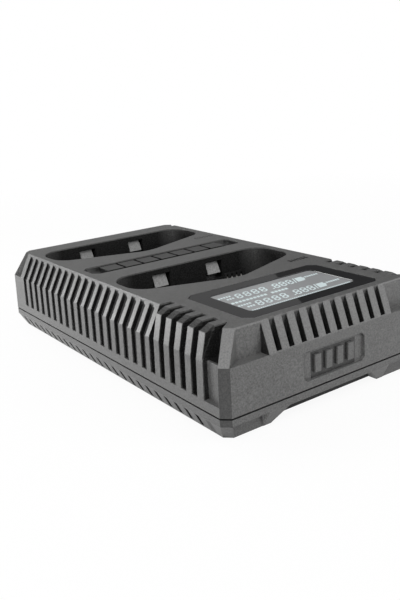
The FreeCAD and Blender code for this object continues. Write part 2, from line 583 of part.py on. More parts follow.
def cube(name, x_low, y_low, z_low, x_size, y_size, z_size):
    made = doc.addObject("Part::Box", name)
    made.Placement = FreeCAD.Placement(
        FreeCAD.Vector(value(x_low), value(y_low), value(z_low)), FreeCAD.Rotation())
    for prop, text in (("Placement.Base.x", x_low), ("Placement.Base.y", y_low),
                       ("Placement.Base.z", z_low), ("Length", x_size),
                       ("Width", y_size), ("Height", z_size)):
        bind(made, prop, text)
    return made


def group(label, members):
    made = doc.addObject("Part::MultiFuse", label)
    made.Label = label
    made.Shapes = members
    return made


board_top = "board_low + board_thick"
case_parts = []
for number, (x, y) in enumerate(post_spots):
    case_parts.append(cylinder("case_head_%d" % number, x, y, "head_sink - head_high",
                               "head_radius", "head_high"))
    case_parts.append(cylinder("case_shank_%d" % number, x, y, "head_sink - head_high",
                               "screw_radius", "screw_top - head_sink + head_high"))
case_screws = group("case_screws", case_parts)
display_parts = []
for number, (x, y) in enumerate(boss_spots):
    display_parts.append(cylinder("display_head_%d" % number, x, y,
                                  "tray_low - slab_thick - boss_head_high",
                                  "boss_head", "boss_head_high"))
    display_parts.append(cylinder("display_shank_%d" % number, x, y,
                                  "tray_low - slab_thick - boss_head_high", "boss_screw",
                                  "slab_thick + boss_head_high + boss_screw_up"))
display_screws = group("display_screws", display_parts)

# pin header that joins the two boards
slab("riser_header", "-riser_half", "riser_half", "-riser_near", "-riser_far",
     board_top, "tray_low - slab_thick - board_low - board_thick")

# contact block and blades at the foot of each bay
for place, back in (("front", "bay_back_front"), ("rear", "bay_back_rear")):
    block = slab("contact_block_" + place, "block_x - block_half", "block_x + block_half",
                 back, back + " + block_deep", board_top,
                 "block_top - board_low - board_thick")
    slit = sketch(block, "YZ_Plane", "slit_profile_" + place, "block_x - 1.5*blade_pitch")
    outline(slit, box_outline(back + " - 0.5", back + " + blade_in", "blade_low", "blade_top + 0.1"))
    slit_cut = grow(block, "Pocket", "slit_" + place, slit, "blade_slot", both=True)
    repeat(block, slit_cut, "X_Axis", "slit_row_" + place, "blade_pitch", "blade_count")
    blades = [cube("blade_%s_%d" % (place, n), "block_x + %.1f*blade_pitch - blade_wide/2" % (n - 1.5),
                   back + " - blade_out", "blade_low", "blade_wide", "blade_out + blade_in",
                   "blade_top - blade_low") for n in range(4)]
    group("contact_blades_" + place, blades)

# power inlet: folded metal shell with a tongue inside
shell = slab("inlet_shell", "-shell_half", "shell_half", "body_long/2 - draft - shell_long",
             "body_long/2 - draft", board_top, "shell_high")
doc.recompute()
shell_edges = []
for number, edge in enumerate(shell.Shape.Edges, start=1):
    ends = [v.Point for v in edge.Vertexes]
    if abs(ends[0].y - ends[1].y) > 3.0:
        shell_edges.append("Edge%d" % number)
shell_pad = shell.Tip
shell_round = shell.newObject("PartDesign::Fillet", "shell_round")
shell_round.Base = (shell_pad, shell_edges)
bind(shell_round, "Radius", "shell_high/2 - 0.1")
throat = sketch(shell, "XZ_Plane", "throat_outline", "-body_long/2")
outline(throat, box_outline("-shell_half + 1.2", "shell_half - 1.2", board_top + " + shell_wall",
                            board_top + " + shell_high - shell_wall"))
grow(shell, "Pocket", "throat", throat, "shell_long - 0.8", back=True)
slab("inlet_tongue", "-tongue_half + 0.4", "tongue_half - 0.4",
     "body_long/2 - shell_long + 0.8", "body_long/2 - shell_long + 0.8 + tongue_long",
     board_top + " + shell_high/2 - tongue_high/2", "tongue_high")

# larger parts on the main board, under the display
coils = group("power_inductors", [
    cube("coil_left", "-coil_x - coil_half", "-coil_y - coil_half", board_top,
         "2*coil_half", "2*coil_half", "coil_high"),
    cube("coil_right", "coil_x - coil_half", "-coil_y - coil_half", board_top,
         "2*coil_half", "2*coil_half", "coil_high")])
cans = group("filter_capacitors", [
    cylinder("can_%d" % n, x, "-can_y", board_top, "can_radius", "can_high")
    for n, x in enumerate(("-can_x + 2", "can_x - 2"))])
slab("controller_chip", "-chip_half", "chip_half", "15.0 - chip_half", "15.0 + chip_half",
     board_top, "chip_high")
switches = group("charge_switches", [
    cube("switch_%d" % n, x, y, board_top, "2*switch_half_x", "2*switch_half_y", "switch_high")
    for n, (x, y) in enumerate((("switch_x - switch_half_x - 52", "-switch_y"),
                                ("switch_x - switch_half_x", "-switch_y"),
                                ("switch_x - switch_half_x - 52", "switch_y + 3"),
                                ("switch_x - switch_half_x", "switch_y + 3")))])
slab("input_fuse", "-12.0", "-7.0", "plug_low_y", "plug_high_y", board_top, "1.8")

doc.recompute()

nodes = ["top_cover", "bottom_cover", "display_window", "lcd_glass", "backlight_tray",
         "display_board", "circuit_board", "case_screws", "display_screws", "riser_header",
         "contact_block_front", "contact_block_rear", "contact_blades_front",
         "contact_blades_rear", "inlet_shell", "inlet_tongue", "power_inductors",
         "filter_capacitors", "controller_chip", "charge_switches", "input_fuse"]

for thing in doc.Objects:
    if "Invalid" in thing.State or "Error" in thing.State:
        raise RuntimeError("failed: %s %s" % (thing.Name, thing.getStatusString()))

os.makedirs("parts", exist_ok=True)
for label in nodes:
    piece = doc.getObjectsByLabel(label)[0]
    shape = piece.Shape
    if shape.isNull() or not shape.isValid():
        raise RuntimeError("bad shape: " + label)
    shape.exportStep("parts/%s.step" % label)
    print("%-22s solids %d  volume %.0f" % (label, len(shape.Solids), shape.Volume))
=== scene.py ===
import json
import math
import bmesh
import bpy
from mathutils import Matrix, Vector

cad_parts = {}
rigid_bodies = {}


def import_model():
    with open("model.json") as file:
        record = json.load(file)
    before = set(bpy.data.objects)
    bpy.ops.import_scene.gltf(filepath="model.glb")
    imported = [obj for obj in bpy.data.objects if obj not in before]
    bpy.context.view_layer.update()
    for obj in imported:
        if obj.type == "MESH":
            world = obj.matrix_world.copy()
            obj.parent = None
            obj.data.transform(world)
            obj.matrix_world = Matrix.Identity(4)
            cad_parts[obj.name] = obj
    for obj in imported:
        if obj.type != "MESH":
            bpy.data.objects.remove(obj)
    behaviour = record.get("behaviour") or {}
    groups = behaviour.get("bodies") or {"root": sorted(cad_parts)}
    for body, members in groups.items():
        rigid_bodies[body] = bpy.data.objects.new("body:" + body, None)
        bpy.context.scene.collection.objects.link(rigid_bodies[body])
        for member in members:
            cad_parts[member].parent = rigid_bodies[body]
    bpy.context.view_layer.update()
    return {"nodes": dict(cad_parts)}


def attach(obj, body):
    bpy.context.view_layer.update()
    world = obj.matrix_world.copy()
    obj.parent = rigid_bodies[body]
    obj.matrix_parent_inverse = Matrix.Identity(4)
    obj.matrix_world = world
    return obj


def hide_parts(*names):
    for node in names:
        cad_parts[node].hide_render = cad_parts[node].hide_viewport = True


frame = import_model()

scene = bpy.context.scene
scene.view_settings.view_transform = "Standard"
mm = 0.001
nodes = frame["nodes"]
print("stage: frame loaded,", len(nodes), "nodes")

# camera

shot = {
    "place": (-142.189, -210.239, 93.601),
    "turn": 0.60637,  # radians to the right of straight ahead
    "tilt": -0.29598,
    "roll": -0.06319,
    "lens": 42.015,
    "sensor": 36,
}


def makeCamera(values):
    turn, tilt, roll = values["turn"], values["tilt"], values["roll"]
    ahead = Vector((math.sin(turn) * math.cos(tilt), math.cos(turn) * math.cos(tilt), math.sin(tilt)))
    side = Vector((math.cos(turn), -math.sin(turn), 0))
    above = side.cross(ahead)
    across = side * math.cos(roll) + above * math.sin(roll)
    upward = above * math.cos(roll) - side * math.sin(roll)
    data = bpy.data.cameras.new("camera")
    data.sensor_width = values["sensor"]
    data.lens = values["lens"]
    data.clip_start, data.clip_end = 0.01, 30
    camera = bpy.data.objects.new("camera", data)
    scene.collection.objects.link(camera)
    facing = Matrix((across, upward, -ahead)).transposed().to_4x4()
    camera.matrix_world = Matrix.Translation(Vector(values["place"]) * mm) @ facing
    scene.camera = camera


makeCamera(shot)
print("stage: camera")

# node helpers


def newTree(name):
    material = bpy.data.materials.new(name)
    material.use_nodes = True
    tree = material.node_tree
    tree.nodes.clear()
    output = tree.nodes.new("ShaderNodeOutputMaterial")
    shader = tree.nodes.new("ShaderNodeBsdfPrincipled")
    tree.links.new(shader.outputs["BSDF"], output.inputs["Surface"])
    coords = tree.nodes.new("ShaderNodeTexCoord")
    return material, tree, shader, coords.outputs["Object"]


def noise(tree, coords, size, detail=2.0, rough=0.55):
    node = tree.nodes.new("ShaderNodeTexNoise")
    node.inputs["Scale"].default_value = 1 / (size * mm)
    node.inputs["Detail"].default_value = detail
    node.inputs["Roughness"].default_value = rough
    tree.links.new(coords, node.inputs["Vector"])
    return node.outputs["Fac"]


def remap(tree, value, low, high, fromLow=0.3, fromHigh=0.7):
    node = tree.nodes.new("ShaderNodeMapRange")
    node.inputs["From Min"].default_value = fromLow
    node.inputs["From Max"].default_value = fromHigh
    node.inputs["To Min"].default_value = low
    node.inputs["To Max"].default_value = high
    tree.links.new(value, node.inputs["Value"])
    return node.outputs["Result"]


def sums(tree, operation, *values):
    node = tree.nodes.new("ShaderNodeMath")
    node.operation = operation
    for place, value in enumerate(values):
        if isinstance(value, (int, float)):
            node.inputs[place].default_value = value
        else:
            tree.links.new(value, node.inputs[place])
    return node.outputs["Value"]


def over(tree, value, level):
    return sums(tree, "GREATER_THAN", value, level)


def under(tree, value, level):
    return sums(tree, "LESS_THAN", value, level)


def near(tree, value, middle, reach):
    return under(tree, sums(tree, "ABSOLUTE", sums(tree, "SUBTRACT", value, middle)), reach)


def masked(tree, total, *tests):
    for test in tests:
        total = sums(tree, "MULTIPLY", total, test)
    return total


def reduced(tree, total, *terms):  # the total, less each value times its factor
    for value, factor in terms:
        total = sums(tree, "SUBTRACT", total, sums(tree, "MULTIPLY", value, factor))
    return total


def toned(tree, tone, mask, level):  # the tone times the level where the mask is 1
    return sums(tree, "MULTIPLY", tone, reduced(tree, 1.0, (mask, 1 - level)))


def axesOf(tree, coords):  # x, y and z in mm
    parts = tree.nodes.new("ShaderNodeSeparateXYZ")
    tree.links.new(coords, parts.inputs[0])
    return [sums(tree, "MULTIPLY", parts.outputs[axis], 1000) for axis in "XYZ"]


def scaled(tree, colour, factor):
    node = tree.nodes.new("ShaderNodeVectorMath")
    node.operation = "SCALE"
    if isinstance(colour, tuple):
        node.inputs[0].default_value = colour
    else:
        tree.links.new(colour, node.inputs[0])
    tree.links.new(factor, node.inputs["Scale"])
    return node.outputs["Vector"]


def mixColour(tree, factor, first, second, blend="MIX"):
    node = tree.nodes.new("ShaderNodeMix")
    node.data_type = "RGBA"
    node.blend_type = blend
    for label, value in (("Factor", factor), ("A", first), ("B", second)):
        socket = node.inputs[label]
        if isinstance(value, (int, float)):
            socket.default_value = value
        elif isinstance(value, tuple):
            socket.default_value = (*value, 1.0)
        else:
            tree.links.new(value, socket)
    return node.outputs["Result"]


def grain(tree, shader, coords, size, depth, edge):
    bump = tree.nodes.new("ShaderNodeBump")
    bump.inputs["Strength"].default_value = 1.0
    bump.inputs["Distance"].default_value = depth * mm
    tree.links.new(noise(tree, coords, size), bump.inputs["Height"])
    if edge:
        bevel = tree.nodes.new("ShaderNodeBevel")  # softens the light on sharp moulded edges
        bevel.samples = 4
        bevel.inputs["Radius"].default_value = edge * mm
        tree.links.new(bevel.outputs["Normal"], bump.inputs["Normal"])
    tree.links.new(bump.outputs["Normal"], shader.inputs["Normal"])


def varied(tree, value, middle, below, above):  # noise as a value from just below to just above the middle
    return remap(tree, value, middle - below, middle + above)


plasticFinish = {"detail": 3.0, "noiseRough": 0.65, "cloud": 9.0, "shade": 0.04, "smoother": 0.05,
                 "rougher": 0.07, "bump": 0.8}
metalFinish = {"detail": 4.0, "noiseRough": 0.6, "dark": 0.82, "smoother": 0.05, "rougher": 0.08}


def plastic(name, values):
    material, tree, shader, coords = newTree(name)
    finish = plasticFinish
    fine = noise(tree, coords, values["grain"], finish["detail"], finish["noiseRough"])
    broad = noise(tree, coords, finish["cloud"])
    tone = sums(tree, "MULTIPLY", varied(tree, fine, 1, values["speckle"], values["speckle"]),
                varied(tree, broad, 1, finish["shade"], finish["shade"]))
    colour = scaled(tree, values["colour"], tone)
    tree.links.new(colour, shader.inputs["Base Color"])
    rough = varied(tree, fine, values["rough"], finish["smoother"], finish["rougher"])
    tree.links.new(rough, shader.inputs["Roughness"])
    grain(tree, shader, coords, values["grain"] * finish["bump"], values["depth"], values["edge"])
    return material, tree, shader, coords, colour


def metal(name, values):
    material, tree, shader, coords = newTree(name)
    finish = metalFinish
    smear = noise(tree, coords, values["grain"], finish["detail"], finish["noiseRough"])
    dark = tuple(c * finish["dark"] for c in values["colour"])
    colour = mixColour(tree, remap(tree, smear, 0, 1), dark, values["colour"])
    tree.links.new(colour, shader.inputs["Base Color"])
    rough = varied(tree, smear, values["rough"], finish["smoother"], finish["rougher"])
    tree.links.new(rough, shader.inputs["Roughness"])
    shader.inputs["Metallic"].default_value = 1.0
    grain(tree, shader, coords, values["grain"], values["depth"], values["edge"])
    return material


# materials of the covers and of the parts inside

coverLook = {"colour": (0.1, 0.1, 0.099), "rough": 0.4, "grain": 0.5, "speckle": 0.45, "depth": 0.035,
             "edge": 0.14}
labelBars = [
    {"x": (24.4, 33.4), "y": (-28.9, -26.5), "pitch": 1.5, "fill": 0.72},
    {"x": (25.2, 34.0), "y": (30.7, 33.2), "pitch": 1.4, "fill": 0.72},
]  # plain printed bars beside the bays
labelInk = {"level": 31.2, "strength": 0.95, "colour": (0.008, 0.008, 0.008), "polish": 0.65}
topLook = {  # painted shade and light of the top cover: places in mm, each tone as the share of the colour that is left
    "skin": {"wide": 41.6, "long": 73.5, "top": 31.0, "bend": 22.0, "sideLean": 0.527, "endLean": 0.376,
             "start": 0.05, "full": 0.32, "tone": 0.14, "polish": 0.24, "seam": 7.68},  # outer faces, with painted shade on faces sunk below them
    "pockets": {"cornerFrom": 64.5, "cornerSink": 2.0, "plainFrom": 25.6, "ledge": 21.9, "plainSink": 2.0,
                "pocketTo": 36.0, "pocketSink": 2.5},  # behind the corner posts and under the end ledges, where the painted recess shade is held back
    "plate": {"half": 13.2, "top": 19.4, "sink": 0.85, "rungsHalf": 9.3, "rungsTop": 18.2, "rungsRise": 0.5,
              "rungsTone": 0.3},  # sunk plate of the front, with its bars; the painted shade between the bars goes no darker than rungsTone
    "bayEnds": {"start": 24.0, "peak": 31.0, "out": 34.4, "low": 14.0, "half": 35.0, "end": 62.0, "add": 0.62,
                "rest": 0.1},  # light that reaches the rounded ends of the bays
    "fins": {"from": 36.7, "to": 64.5, "lean": 0.219, "level": 29.9, "over": 36.75,
             "tone": 0.36},  # painted shade on the chamfered tops of the fins
    # painted shade in the sunk strip of the top, on its floor and bars
    "bars": {"middle": 16.4, "reach": 5.0, "half": 33.0, "level": 31.25, "tone": 0.5},
    "slots": {"edge": 61.7, "rows": 10, "pitch": 5.48, "wide": 2.3, "lowEdge": 0.6, "highEdge": 1.15,
              "top": 31.3, "slope": 0.5, "low": 10.6, "end": 34.7, "flank": 36.5, "overlap": 0.1,
              "tone": 0.03, "rough": 0.95},  # painted shadow: a dark strip on the rib beside each slot, so the slot reads wider
    "facet": {"reach": 113.45, "lean": 0.0556, "low": 7.6, "top": 22.02, "tone": 0.45},  # painted shade on the vertical corner facets
    "tabs": {"x": 12.0, "half": 2.92, "low": 23.4, "high": 28.6, "middle": 30.775, "away": 29.575,
             "reach": 2.1, "tone": 1.85},  # sloped tabs of the bays, painted lighter than the cover colour
}
baseLook = {  # painted shade and light of the bottom cover, set out the same way
    "skin": {"wide": 42.0, "long": 73.9, "crease": 5.1, "lean": 0.529, "start": 0.05, "full": 0.2,
             "tone": 0.14, "seam": 7.12},
    # painted shadow: a dark band around each of the grooves, wider than the cut itself
    "grooves": {"first": 66.03, "pitch": 5.48, "half": 1.2, "low": 0.6, "high": 4.7, "from": 38.2,
                "end": 69.5, "tone": 0.2},
    "steps": {"middle": -1.2, "x": 25.3, "reach": 0.15, "from": 70.8, "inset": 0.1,
              "tone": 2.8},  # painted light that lifts the shaded step faces at the borders of the foot panels
    # painted shade on the corner facets above the crease
    "facet": {"reach": 113.45, "tone": 0.45},
}


def addLabels(tree, shader, coords, colour, bars, values):
    x, y, z = axesOf(tree, coords)
    total = 0.0
    for bar in bars:
        inside = over(tree, z, values["level"])
        for way, (low, high) in ((x, bar["x"]), (y, bar["y"])):
            inside = masked(tree, inside, near(tree, way, (low + high) / 2, (high - low) / 2))
        phase = sums(tree, "DIVIDE", sums(tree, "SUBTRACT", x, bar["x"][0]), bar["pitch"])
        stripe = under(tree, sums(tree, "FRACT", phase), bar["fill"])
        total = sums(tree, "MAXIMUM", total, masked(tree, inside, stripe))
    ink = mixColour(tree, sums(tree, "MULTIPLY", total, values["strength"]), colour, values["colour"])
    tree.links.new(ink, shader.inputs["Base Color"])
    rough = shader.inputs["Roughness"].links[0].from_socket
    tree.links.new(toned(tree, rough, total, 1 - values["polish"]), shader.inputs["Roughness"])


def insetTop(tree, farX, farY, z, finRow, look):  # depth below the outer skin, in mm, which sets the painted recess shade
    skin, pockets, plate = look["skin"], look["pockets"], look["plate"]
    rise = sums(tree, "MAXIMUM", sums(tree, "SUBTRACT", z, skin["bend"]), 0.0)
    sideLean = reduced(tree, skin["sideLean"], (finRow, skin["sideLean"] - look["fins"]["lean"]))
    corner = over(tree, farY, pockets["cornerFrom"])
    plain = masked(tree, over(tree, farX, pockets["plainFrom"]), over(tree, z, pockets["ledge"]))
    pocket = masked(tree, plain, under(tree, farX, pockets["pocketTo"]))
    sunk = masked(tree, under(tree, farX, plate["half"]), under(tree, z, plate["top"]))
    rungs = masked(tree, under(tree, farX, plate["rungsHalf"]), under(tree, z, plate["rungsTop"]), corner)
    fromSide = reduced(tree, skin["wide"], (farX, 1), (rise, sideLean), (corner, pockets["cornerSink"]))
    fromEnd = reduced(tree, skin["long"], (farY, 1), (rise, skin["endLean"]), (plain, pockets["plainSink"]),
                      (pocket, pockets["pocketSink"]), (sunk, plate["sink"]), (rungs, -plate["rungsRise"]))
    fromTop = sums(tree, "SUBTRACT", skin["top"], z)
    inset = sums(tree, "MINIMUM", sums(tree, "MINIMUM", fromSide, fromEnd), fromTop)
    return inset, fromTop, rungs


def bayEndLight(tree, farX, farY, z, top, values):
    light = remap(tree, farX, 0.0, values["add"], values["start"], values["peak"])
    higher = remap(tree, z, 0.0, 1.0, values["low"], top)
    outer = remap(tree, farX, 1.0, values["rest"], values["peak"], values["out"])
    return masked(tree, light, higher, outer, under(tree, farX, values["half"]),
                  under(tree, farY, values["end"]))


def slotShadowStrips(tree, y, forward, farX, z, bend, values):
    first = values["edge"] + values["rows"] * values["pitch"]
    along = sums(tree, "MODULO", sums(tree, "SUBTRACT", first, y), values["pitch"])
    wider = values["highEdge"] - values["lowEdge"]
    reach = reduced(tree, values["wide"] + values["lowEdge"], (over(tree, z, bend), -wider))
    roof = reduced(tree, values["top"], (along, values["slope"]))
    return masked(tree, under(tree, along, reach), over(tree, along, values["wide"] - values["overlap"]),
                  under(tree, z, roof), over(tree, z, values["low"]), over(tree, farX, values["flank"]),
                  under(tree, y, values["edge"]), under(tree, forward, values["end"]))


def tabFaces(tree, farX, y, z, values):
    away = sums(tree, "ABSOLUTE", sums(tree, "SUBTRACT", y, values["middle"]))
    return masked(tree, near(tree, farX, values["x"], values["half"]), over(tree, z, values["low"]),
                  under(tree, z, values["high"]), near(tree, away, values["away"], values["reach"]))


# paints shade into the recesses, slots, strip, fin chamfers and corner facets of the top cover, and light
# onto its tabs and bay ends
def shadeTop(tree, shader, coords, colour, look):
    skin, fins, slots, bars, facet = (look[name] for name in ("skin", "fins", "slots", "bars", "facet"))
    x, y, z = axesOf(tree, coords)
    farX, farY = sums(tree, "ABSOLUTE", x), sums(tree, "ABSOLUTE", y)
    forward = sums(tree, "MULTIPLY", y, -1)
    finRow = masked(tree, over(tree, forward, fins["from"]), under(tree, forward, fins["to"]))
    inset, fromTop, rungs = insetTop(tree, farX, farY, z, finRow, look)
    recessShadeMask = remap(tree, inset, 0.0, 1.0, skin["start"], skin["full"])  # 1 on every face below the skin, where shade is painted
    light = bayEndLight(tree, farX, farY, z, skin["top"], look["bayEnds"])
    tone = reduced(tree, 1.0, (recessShadeMask, sums(tree, "SUBTRACT", 1 - skin["tone"], light)))
    # painted shade between the bars of the front plate, kept at rungsTone or lighter
    tone = sums(tree, "MAXIMUM", tone, sums(tree, "MULTIPLY", rungs, look["plate"]["rungsTone"]))
    tone = toned(tree, tone, under(tree, z, skin["seam"]), skin["tone"])
    bevelShade = masked(tree, under(tree, fromTop, skin["top"] - fins["level"]), finRow,
                      over(tree, farX, fins["over"]))
    tone = reduced(tree, toned(tree, tone, bevelShade, 0.0), (bevelShade, -fins["tone"]))
    stripShade = masked(tree, near(tree, y, bars["middle"], bars["reach"]), under(tree, farX, bars["half"]),
                       under(tree, z, bars["level"]))
    tone = toned(tree, tone, stripShade, bars["tone"])
    slotShadow = slotShadowStrips(tree, y, forward, farX, z, skin["bend"], slots)
    tone = toned(tree, tone, slotShadow, slots["tone"])
    reach = sums(tree, "ADD", sums(tree, "ADD", farX, farY),
                 sums(tree, "MULTIPLY", sums(tree, "SUBTRACT", z, facet["low"]), facet["lean"]))
    facetShade = masked(tree, over(tree, reach, facet["reach"]), under(tree, z, facet["top"]))
    tone = toned(tree, tone, facetShade, facet["tone"])
    tabs = tabFaces(tree, farX, y, z, look["tabs"])
    # painted light: the tabs come out lighter than the cover colour
    tone = sums(tree, "MAXIMUM", tone, sums(tree, "MULTIPLY", tabs, look["tabs"]["tone"]))
    rough = shader.inputs["Roughness"].links[0].from_socket
    deep = sums(tree, "MAXIMUM", sums(tree, "SUBTRACT", recessShadeMask, tabs), 0.0)
    polished = reduced(tree, rough, (sums(tree, "SUBTRACT", rough, skin["polish"]), deep))
    matt = sums(tree, "MULTIPLY", slotShadow, slots["rough"])
    tree.links.new(sums(tree, "MAXIMUM", polished, matt), shader.inputs["Roughness"])
    return scaled(tree, colour, tone)


# paints shade into the recesses, grooves and corner facets of the bottom cover, and light onto its foot-panel
# steps
def shadeBase(tree, shader, coords, colour, look):
    skin, grooves, steps, facet = (look[name] for name in ("skin", "grooves", "steps", "facet"))
    x, y, z = axesOf(tree, coords)
    farX, farY = sums(tree, "ABSOLUTE", x), sums(tree, "ABSOLUTE", y)
    drop = sums(tree, "MAXIMUM", sums(tree, "SUBTRACT", skin["crease"], z), 0.0)
    fromSide, fromEnd = (reduced(tree, skin[half], (way, 1), (drop, skin["lean"]))
                         for half, way in (("wide", farX), ("long", farY)))
    row = under(tree, farY, grooves["end"])
    inset = masked(tree, sums(tree, "MINIMUM", fromSide, fromEnd), row)
    # painted recess shade on faces sunk below the outer skin
    tone = remap(tree, inset, 1.0, skin["tone"], skin["start"], skin["full"])
    away = sums(tree, "PINGPONG", sums(tree, "SUBTRACT", y, grooves["first"]), grooves["pitch"] / 2)
    grooveShadow = masked(tree, under(tree, away, grooves["half"]), over(tree, z, grooves["low"]),
                    under(tree, z, grooves["high"]), over(tree, farX, grooves["from"]), row)
    tone = toned(tree, tone, grooveShadow, grooves["tone"])
    # painted light on the shaded step faces of the foot panels
    fromMiddle = sums(tree, "ABSOLUTE", sums(tree, "SUBTRACT", x, steps["middle"]))
    step = masked(tree, near(tree, fromMiddle, steps["x"], steps["reach"]), over(tree, farY, steps["from"]),
                  under(tree, z, skin["crease"]), over(tree, fromEnd, steps["inset"]))
    tone = toned(tree, tone, step, steps["tone"])
    facetShade = masked(tree, over(tree, sums(tree, "ADD", farX, farY), facet["reach"]),
                     over(tree, z, skin["crease"]))
    tone = toned(tree, tone, facetShade, facet["tone"])
    tone = toned(tree, tone, over(tree, z, skin["seam"]), skin["tone"])
    tree.links.new(scaled(tree, colour, tone), shader.inputs["Base Color"])


topMaterial, topTree, topShader, topCoords, topColour = plastic("mouldedTop", coverLook)
topColour = shadeTop(topTree, topShader, topCoords, topColour, topLook)
addLabels(topTree, topShader, topCoords, topColour, labelBars, labelInk)
baseMaterial, baseTree, baseShader, baseCoords, baseColour = plastic("mouldedBase", coverLook)
shadeBase(baseTree, baseShader, baseCoords, baseColour, baseLook)

plasticLooks = {
    "blackPlastic": {"colour": (0.02, 0.02, 0.02), "rough": 0.4, "grain": 0.25, "speckle": 0.1,
                     "depth": 0.006, "edge": 0.08},
    "whitePlastic": {"colour": (0.75, 0.75, 0.73), "rough": 0.4, "grain": 0.3, "speckle": 0.04,
                     "depth": 0.005, "edge": 0.1},
    "boardGreen": {"colour": (0.02, 0.085, 0.035), "rough": 0.35, "grain": 0.6, "speckle": 0.15,
                   "depth": 0.01, "edge": 0.05},
    "chipBody": {"colour": (0.018, 0.018, 0.02), "rough": 0.5, "grain": 0.15, "speckle": 0.12,
                 "depth": 0.006, "edge": 0.1},
}
metalLooks = {
    "steel": {"colour": (0.62, 0.62, 0.62), "rough": 0.3, "grain": 0.5, "depth": 0.003, "edge": 0.05},
    "screwSteel": {"colour": (0.3, 0.3, 0.31), "rough": 0.32, "grain": 0.3, "depth": 0.003, "edge": 0.06},
    "spring": {"colour": (0.86, 0.85, 0.82), "rough": 0.42, "grain": 0.4, "depth": 0.002, "edge": 0.04},
    "copper": {"colour": (0.8, 0.42, 0.25), "rough": 0.35, "grain": 0.3, "depth": 0.004, "edge": 0.08},
    "canSleeve": {"colour": (0.7, 0.71, 0.72), "rough": 0.28, "grain": 0.5, "depth": 0.003, "edge": 0.15},
}
looks = {name: plastic(name, values)[0] for name, values in plasticLooks.items()}
looks.update({name: metal(name, values) for name, values in metalLooks.items()})
dressing = {
    "top_cover": topMaterial, "bottom_cover": baseMaterial,
    "backlight_tray": looks["whitePlastic"], "input_fuse": looks["whitePlastic"],
    "display_board": looks["boardGreen"], "circuit_board": looks["boardGreen"],
    "riser_header": looks["blackPlastic"], "inlet_tongue": looks["blackPlastic"],
    "contact_block_front": looks["blackPlastic"], "contact_block_rear": looks["blackPlastic"],
    "controller_chip": looks["chipBody"], "charge_switches": looks["chipBody"],
    "display_screws": looks["screwSteel"], "inlet_shell": looks["steel"],
    "power_inductors": looks["copper"], "filter_capacitors": looks["canSleeve"],
}
for name, material in dressing.items():
    nodes[name].data.materials.clear()
    nodes[name].data.materials.append(material)
print("stage: node materials")

# shape helpers


def roundedLoop(x0, x1, y0, y1, radius, steps=6):
    points = []
    for cx, cy, start in ((x1 - radius, y1 - radius, 0), (x0 + radius, y1 - radius, 90),
                          (x0 + radius, y0 + radius, 180), (x1 - radius, y0 + radius, 270)):
        for step in range(steps + 1):
            angle = math.radians(start + 90 * step / steps)
            points.append((cx + radius * math.cos(angle), cy + radius * math.sin(angle)))
    return points


def cutLoop(x0, x1, y0, y1, cut):
    return [(x0 + cut, y0), (x1 - cut, y0), (x1, y0 + cut), (x1, y1 - cut),
            (x1 - cut, y1), (x0 + cut, y1), (x0, y1 - cut), (x0, y0 + cut)]


def flatPiece(name, loops, low, high, edge, material):
    curve = bpy.data.curves.new(name, "CURVE")
    curve.dimensions = "2D"
    curve.fill_mode = "BOTH"
    curve.extrude = ((high - low) / 2 - edge) * mm
    curve.bevel_depth = edge * mm
    curve.bevel_resolution = 2
    curve.offset = -edge * mm
    for loop in loops:
        spline = curve.splines.new("POLY")
        spline.points.add(len(loop) - 1)
        spline.use_cyclic_u = True
        for point, (x, y) in zip(spline.points, loop):
            point.co = (x * mm, y * mm, 0, 1)
    source = bpy.data.objects.new(name + "Curve", curve)
    scene.collection.objects.link(source)
    made = bpy.data.meshes.new_from_object(source.evaluated_get(bpy.context.evaluated_depsgraph_get()))
    bpy.data.objects.remove(source)
    made.transform(Matrix.Translation((0, 0, (low + high) / 2 * mm)))
    made.materials.clear()
    made.materials.append(material)
    made.name = name
    return placed(name, made)


def placed(name, mesh, body="root"):
    piece = bpy.data.objects.new(name, mesh)
    scene.collection.objects.link(piece)
    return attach(piece, body)


def bandTree(name, glyph, material):
    tree = bpy.data.node_groups.new(name, "GeometryNodeTree")
    face = tree.interface
    for label, kind, value in (("Count", "NodeSocketInt", 4), ("Pitch", "NodeSocketFloat", 0.003),
                               ("Start", "NodeSocketVector", (0, 0, 0))):
        socket = face.new_socket(label, in_out="INPUT", socket_type=kind)
        socket.default_value = value
    face.new_socket("Geometry", in_out="OUTPUT", socket_type="NodeSocketGeometry")
    entry = tree.nodes.new("NodeGroupInput")
    leave = tree.nodes.new("NodeGroupOutput")
    line = tree.nodes.new("GeometryNodeMeshLine")
    step = tree.nodes.new("ShaderNodeCombineXYZ")
    source = tree.nodes.new("GeometryNodeObjectInfo")
    source.inputs["Object"].default_value = glyph
    spread = tree.nodes.new("GeometryNodeInstanceOnPoints")
    solid = tree.nodes.new("GeometryNodeRealizeInstances")
    paint = tree.nodes.new("GeometryNodeSetMaterial")
    paint.inputs["Material"].default_value = material
    tree.links.new(entry.outputs["Count"], line.inputs["Count"])
    tree.links.new(entry.outputs["Pitch"], step.inputs["X"])
    tree.links.new(step.outputs["Vector"], line.inputs["Offset"])
    tree.links.new(entry.outputs["Start"], line.inputs["Start Location"])
    tree.links.new(line.outputs["Mesh"], spread.inputs["Points"])
    tree.links.new(source.outputs["Geometry"], spread.inputs["Instance"])
    tree.links.new(spread.outputs["Instances"], solid.inputs["Geometry"])
    tree.links.new(solid.outputs["Geometry"], paint.inputs["Geometry"])
    tree.links.new(paint.outputs["Geometry"], leave.inputs["Geometry"])
    return tree


